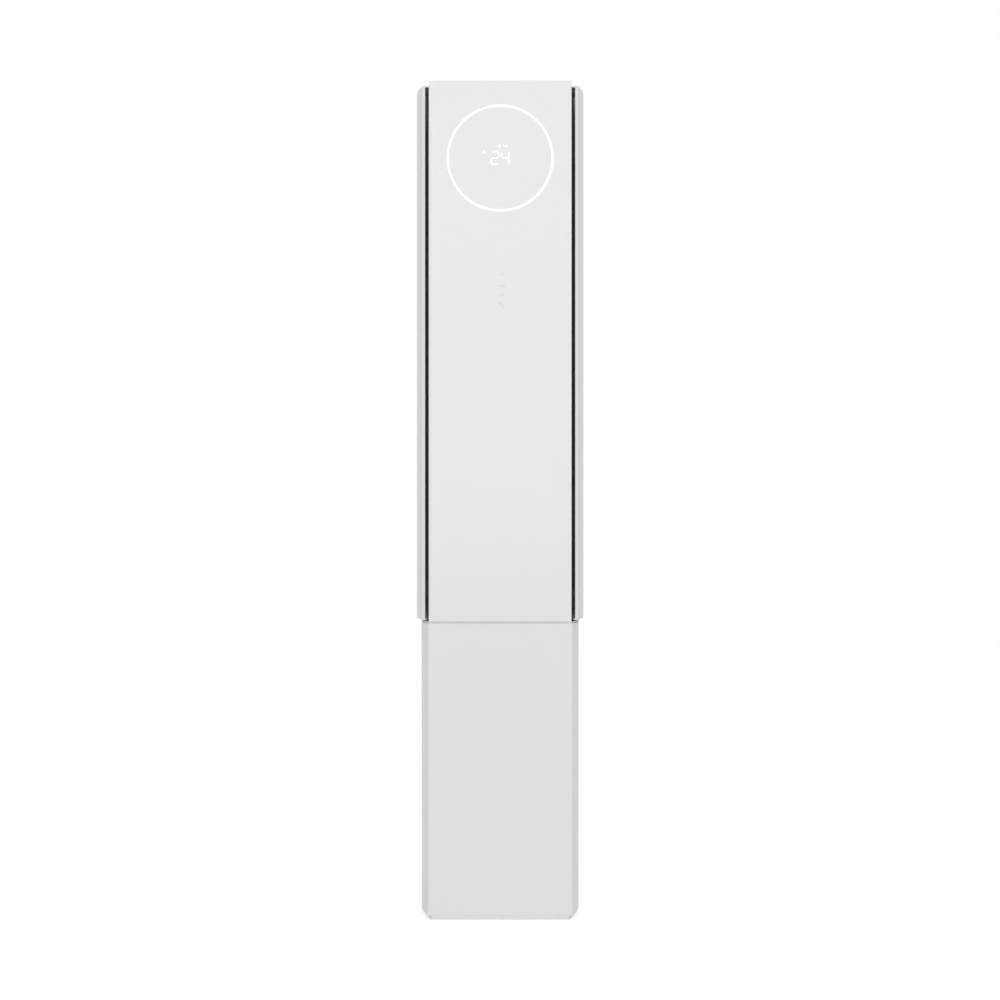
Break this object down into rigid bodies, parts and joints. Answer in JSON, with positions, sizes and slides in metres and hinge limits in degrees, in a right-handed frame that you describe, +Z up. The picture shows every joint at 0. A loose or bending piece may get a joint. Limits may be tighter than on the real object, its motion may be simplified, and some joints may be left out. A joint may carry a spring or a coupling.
{
  "type": "floor standing air conditioner",
  "caption": "Slim tower air conditioner with a flat front panel, a glowing ring display, curved side wings that slide out over tall outlet slots, and rear filter cassettes.",
  "frame": {"origin": "on the floor, at the middle of the footprint's bounding box", "axes": "+Z up, -Y out of the front panel, +X to the viewer's right"},
  "size_m": [0.3774, 0.32, 1.855],
  "materials": {
    "cabinet_white": "satin moulded white",
    "panel_white": "gloss white",
    "light_guide": "milky light guide",
    "vane_grey": "matt dark grey",
    "frame_grey": "matt grey",
    "inner_plastic": "natural moulded plastic",
    "fan_plastic": "matt grey moulded plastic",
    "sheet_steel": "zinc-plated sheet",
    "fins": "bright fins",
    "copper": "drawn copper tube",
    "brass": "machined brass",
    "circuit_board": "green board",
    "rubber_black": "matt rubber",
    "filter_mesh": "fine woven mesh"
  },
  "bodies": {
    "cabinet": {"base_plate": "cabinet_white", "foot_front_left": "rubber_black", "foot_front_right": "rubber_black", "foot_rear_left": "rubber_black", "foot_rear_right": "rubber_black", "lower_front_cover": "cabinet_white", "lower_rear_cover": "cabinet_white", "mid_deck": "cabinet_white", "control_box": "sheet_steel", "control_box_lid": "sheet_steel", "control_board": "circuit_board", "terminal_block": "vane_grey", "cord_gland": "rubber_black", "front_post_left": "sheet_steel", "front_post_right": "sheet_steel", "rear_post_left": "sheet_steel", "rear_post_right": "sheet_steel", "evaporator_core": "fins", "evaporator_end_left": "copper", "evaporator_end_right": "copper", "gas_pipe": "copper", "liquid_pipe": "copper", "gas_flare_nut": "brass", "liquid_flare_nut": "brass", "drain_pan": "inner_plastic", "drain_hose": "rubber_black", "fan_motor_lower": "sheet_steel", "fan_motor_middle": "sheet_steel", "fan_motor_upper": "sheet_steel", "motor_rail": "sheet_steel", "fan_bulkhead": "inner_plastic", "rear_casing": "cabinet_white", "top_cover": "cabinet_white", "front_frame": "frame_grey", "front_panel": "panel_white", "light_ring": "light_guide", "display_board": "circuit_board", "touch_board": "circuit_board", "wing_motor_left": "sheet_steel", "wing_motor_right": "sheet_steel", "vane_motor_left": "sheet_steel", "vane_motor_right": "sheet_steel"},
    "left_wing": {"wing_left": "cabinet_white", "rack_lower_left": "inner_plastic", "rack_upper_left": "inner_plastic"},
    "right_wing": {"wing_right": "cabinet_white", "rack_lower_right": "inner_plastic", "rack_upper_right": "inner_plastic"},
    "left_drive_shaft": {"drive_shaft_left": "sheet_steel"},
    "right_drive_shaft": {"drive_shaft_right": "sheet_steel"},
    "left_vane": {"vane_left": "vane_grey"},
    "right_vane": {"vane_right": "vane_grey"},
    "lower_fan": {"fan_wheel_lower": "fan_plastic"},
    "middle_fan": {"fan_wheel_middle": "fan_plastic"},
    "upper_fan": {"fan_wheel_upper": "fan_plastic"},
    "lower_filter": {"intake_cassette_lower": "cabinet_white", "filter_lower": "filter_mesh"},
    "upper_filter": {"intake_cassette_upper": "cabinet_white", "filter_upper": "filter_mesh"}
  },
  "joints": [
    {"name": "left_wing_slide", "type": "slide", "parent": "cabinet", "child": "left_wing", "axis": [-1, 0, 0], "range_m": [-0.006, 0.015]},
    {"name": "right_wing_slide", "type": "slide", "parent": "cabinet", "child": "right_wing", "axis": [1, 0, 0], "range_m": [-0.006, 0.015]},
    {"name": "left_drive_spin", "type": "hinge", "parent": "cabinet", "child": "left_drive_shaft", "pos_m": [-0.14, -0.062, 1.2], "axis": [0, 0, 1], "range_deg": [-32, 75]},
    {"name": "right_drive_spin", "type": "hinge", "parent": "cabinet", "child": "right_drive_shaft", "pos_m": [0.14, -0.062, 1.2], "axis": [0, 0, 1], "range_deg": [-75, 32]},
    {"name": "left_vane_swing", "type": "hinge", "parent": "cabinet", "child": "left_vane", "pos_m": [-0.15, -0.105, 1.2], "axis": [0, 0, 1], "range_deg": [0, 50]},
    {"name": "right_vane_swing", "type": "hinge", "parent": "cabinet", "child": "right_vane", "pos_m": [0.15, -0.105, 1.2], "axis": [0, 0, 1], "range_deg": [-50, 0]},
    {"name": "lower_fan_spin", "type": "hinge", "parent": "cabinet", "child": "lower_fan", "pos_m": [0, -0.05, 0.88], "axis": [0, 1, 0], "continuous": true},
    {"name": "middle_fan_spin", "type": "hinge", "parent": "cabinet", "child": "middle_fan", "pos_m": [0, -0.05, 1.24], "axis": [0, 1, 0], "continuous": true},
    {"name": "upper_fan_spin", "type": "hinge", "parent": "cabinet", "child": "upper_fan", "pos_m": [0, -0.05, 1.6], "axis": [0, 1, 0], "continuous": true},
    {"name": "lower_filter_pull", "type": "slide", "parent": "cabinet", "child": "lower_filter", "axis": [0, 1, 0], "range_m": [0, 0.04]},
    {"name": "upper_filter_pull", "type": "slide", "parent": "cabinet", "child": "upper_filter", "axis": [0, 1, 0], "range_m": [0, 0.04]}
  ],
  "couplings": [
    {"joint": "left_drive_spin", "follows": "left_wing_slide", "rad_per_m": 83.333},
    {"joint": "right_drive_spin", "follows": "right_wing_slide", "rad_per_m": -83.333}
  ]
}
